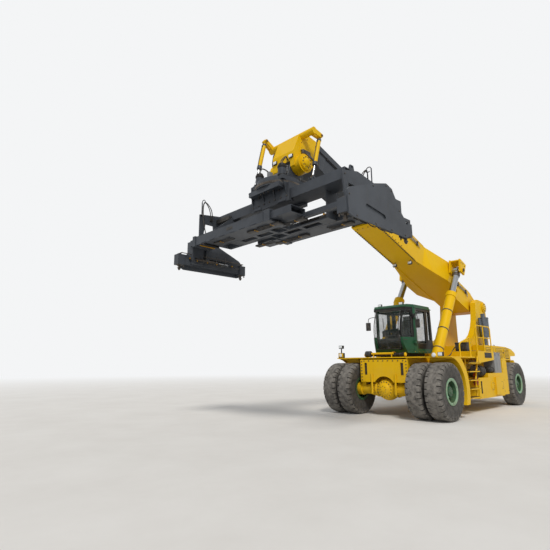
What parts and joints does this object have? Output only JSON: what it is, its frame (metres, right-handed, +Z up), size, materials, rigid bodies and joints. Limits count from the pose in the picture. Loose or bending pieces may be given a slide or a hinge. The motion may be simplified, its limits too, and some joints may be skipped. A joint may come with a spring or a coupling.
{
  "type": "reach_stacker",
  "caption": "Container handler with a telescopic boom, a turning telescopic spreader with twistlocks, a cab, twin drive wheels and a steered rear axle.",
  "frame": {"origin": "middle of the footprint on the ground, z = 0 under the tyres", "axes": "+X forward, towards the spreader; +Y to the machine's left; +Z up"},
  "size_m": [14.6196, 6.133, 7.9616],
  "materials": {
    "yellow_paint": "machine yellow enamel, sun faded and chipped at edges",
    "slate_paint": "slate grey enamel, dusty",
    "green_paint": "dark green enamel",
    "black_paint": "satin black enamel",
    "grey_paint": "light grey enamel",
    "dark_grey_paint": "heat resistant grey, sooty",
    "tyre": "worn matt tread rubber with dust",
    "bright_steel": "ground and chromed rod",
    "cast_steel": "worn forged steel",
    "grey_iron": "painted casting",
    "glass": "tinted safety glass",
    "black_plastic": "grained black trim"
  },
  "bodies": {
    "chassis": {"chassis_frame": "yellow_paint", "front_plate": "yellow_paint", "front_axle": "yellow_paint", "front_mudguards": "yellow_paint", "deck": "yellow_paint", "cab_body": "green_paint", "cab_roof": "green_paint", "cab_glass": "glass", "operator_seat": "black_plastic", "cab_console": "black_plastic", "cab_subframe": "black_paint", "boom_pylon": "yellow_paint", "engine_hood": "yellow_paint", "counterweight": "yellow_paint", "engine_block": "grey_iron", "side_tanks": "yellow_paint", "air_cleaner": "black_paint", "battery_box": "grey_paint", "exhaust": "dark_grey_paint", "ladders": "yellow_paint", "handrails": "yellow_paint", "headlamps": "black_paint", "steering_axle": "yellow_paint"},
    "door": {"cab_door": "green_paint", "cab_door_glass": "glass"},
    "knuckle_left": {"steering_knuckle_left": "yellow_paint"},
    "knuckle_right": {"steering_knuckle_right": "yellow_paint"},
    "front_wheels_left": {"front_tyres_left": "tyre", "front_rims_left": "green_paint"},
    "front_wheels_right": {"front_tyres_right": "tyre", "front_rims_right": "green_paint"},
    "rear_wheel_left": {"rear_tyre_left": "tyre", "rear_rim_left": "green_paint"},
    "rear_wheel_right": {"rear_tyre_right": "tyre", "rear_rim_right": "green_paint"},
    "boom": {"outer_boom": "yellow_paint"},
    "boom_extension": {"inner_boom": "slate_paint", "boom_head": "yellow_paint"},
    "lift_barrel_left": {"lift_barrel_left": "yellow_paint"},
    "lift_barrel_right": {"lift_barrel_right": "yellow_paint"},
    "lift_rod_left": {"lift_rod_left": "bright_steel"},
    "lift_rod_right": {"lift_rod_right": "bright_steel"},
    "damper_barrel_left": {"damper_barrel_left": "yellow_paint"},
    "damper_barrel_right": {"damper_barrel_right": "yellow_paint"},
    "damper_rod_left": {"damper_rod_left": "bright_steel"},
    "damper_rod_right": {"damper_rod_right": "bright_steel"},
    "yoke": {"spreader_yoke": "slate_paint"},
    "carriage": {"slew_carriage": "slate_paint"},
    "spreader": {"spreader_main_frame": "slate_paint"},
    "extension_left": {"extension_left": "slate_paint", "twistlocks_left": "cast_steel"},
    "extension_right": {"extension_right": "slate_paint", "twistlocks_right": "cast_steel"}
  },
  "joints": [
    {"name": "boom_lift", "type": "hinge", "parent": "chassis", "child": "boom", "pos_m": [-5.40979, 0, 3.93], "axis": [0, 1, 0], "range_deg": [-40, 14]},
    {"name": "boom_extend", "type": "slide", "parent": "boom", "child": "boom_extension", "axis": [0.9483, 0, 0.3173], "range_m": [-2.95, 2.2]},
    {"name": "yoke_level", "type": "hinge", "parent": "boom_extension", "child": "yoke", "pos_m": [5.61029, 0, 6.8496], "axis": [0, 1, 0], "range_deg": [-14, 40]},
    {"name": "spreader_slew", "type": "hinge", "parent": "yoke", "child": "carriage", "pos_m": [6.07029, 0, 6.03], "axis": [0, 0, 1], "range_deg": [-195, 105]},
    {"name": "side_shift", "type": "slide", "parent": "carriage", "child": "spreader", "axis": [0, 1, 0], "range_m": [-0.8, 0.8]},
    {"name": "spreader_extend_left", "type": "slide", "parent": "spreader", "child": "extension_left", "axis": [0, -1, 0], "range_m": [-3.066, 0]},
    {"name": "spreader_extend_right", "type": "slide", "parent": "spreader", "child": "extension_right", "axis": [0, 1, 0], "range_m": [-3.066, 0]},
    {"name": "lift_barrel_swing_left", "type": "hinge", "parent": "chassis", "child": "lift_barrel_left", "pos_m": [0.29021, 1.04, 1.3], "axis": [0, 1, 0], "range_deg": [-0.28, 0.8]},
    {"name": "lift_rod_stroke_left", "type": "slide", "parent": "lift_barrel_left", "child": "lift_rod_left", "axis": [-0.5771, 0, 0.8167], "range_m": [-0.73803, 2.10846]},
    {"name": "lift_barrel_swing_right", "type": "hinge", "parent": "chassis", "child": "lift_barrel_right", "pos_m": [0.29021, -1.04, 1.3], "axis": [0, 1, 0], "range_deg": [-0.28, 0.8]},
    {"name": "lift_rod_stroke_right", "type": "slide", "parent": "lift_barrel_right", "child": "lift_rod_right", "axis": [-0.5771, 0, 0.8167], "range_m": [-0.73803, 2.10846]},
    {"name": "damper_swing_left", "type": "hinge", "parent": "boom_extension", "child": "damper_barrel_left", "pos_m": [5.24029, 0.76, 7.6796], "axis": [0, 1, 0], "range_deg": [-4.69, 13.4]},
    {"name": "damper_stroke_left", "type": "slide", "parent": "damper_barrel_left", "child": "damper_rod_left", "axis": [0.2545, 0, -0.9671], "range_m": [-0.15501, 0.05432]},
    {"name": "damper_swing_right", "type": "hinge", "parent": "boom_extension", "child": "damper_barrel_right", "pos_m": [5.86029, -0.76, 7.8996], "axis": [0, 1, 0], "range_deg": [-5.74, 16.4]},
    {"name": "damper_stroke_right", "type": "slide", "parent": "damper_barrel_right", "child": "damper_rod_right", "axis": [0.2381, 0, -0.9712], "range_m": [-0.09562, 0.273]},
    {"name": "cab_door", "type": "hinge", "parent": "chassis", "child": "door", "pos_m": [0.63021, 0.755, 1.945], "axis": [0, 0, 1], "range_deg": [0, 95]},
    {"name": "steer_left", "type": "hinge", "parent": "chassis", "child": "knuckle_left", "pos_m": [-5.55979, 1.13, 0.82], "axis": [0, 0, 1], "range_deg": [-50, 50]},
    {"name": "steer_right", "type": "hinge", "parent": "chassis", "child": "knuckle_right", "pos_m": [-5.55979, -1.13, 0.82], "axis": [0, 0, 1], "range_deg": [-50, 50]},
    {"name": "front_wheels_left", "type": "hinge", "parent": "chassis", "child": "front_wheels_left", "pos_m": [1.19021, 1.7, 0.82], "axis": [0, 1, 0], "continuous": true},
    {"name": "rear_wheel_left", "type": "hinge", "parent": "knuckle_left", "child": "rear_wheel_left", "pos_m": [-5.55979, 1.53, 0.82], "axis": [0, 1, 0], "continuous": true},
    {"name": "front_wheels_right", "type": "hinge", "parent": "chassis", "child": "front_wheels_right", "pos_m": [1.19021, -1.7, 0.82], "axis": [0, 1, 0], "continuous": true},
    {"name": "rear_wheel_right", "type": "hinge", "parent": "knuckle_right", "child": "rear_wheel_right", "pos_m": [-5.55979, -1.53, 0.82], "axis": [0, 1, 0], "continuous": true}
  ],
  "couplings": [
    {"joint": "yoke_level", "follows": "boom_lift", "ratio": -1},
    {"joint": "spreader_extend_right", "follows": "spreader_extend_left", "ratio": 1},
    {"joint": "lift_barrel_swing_left", "follows": "boom_lift", "ratio": -0.02},
    {"joint": "lift_rod_stroke_left", "follows": "boom_lift", "m_per_rad": -3.02},
    {"joint": "lift_barrel_swing_right", "follows": "boom_lift", "ratio": -0.02},
    {"joint": "lift_rod_stroke_right", "follows": "boom_lift", "m_per_rad": -3.02},
    {"joint": "damper_swing_left", "follows": "boom_lift", "ratio": -0.335},
    {"joint": "damper_stroke_left", "follows": "boom_lift", "m_per_rad": 0.2219},
    {"joint": "damper_swing_right", "follows": "boom_lift", "ratio": -0.41},
    {"joint": "damper_stroke_right", "follows": "boom_lift", "m_per_rad": -0.3909},
    {"joint": "steer_right", "follows": "steer_left", "ratio": 1}
  ]
}
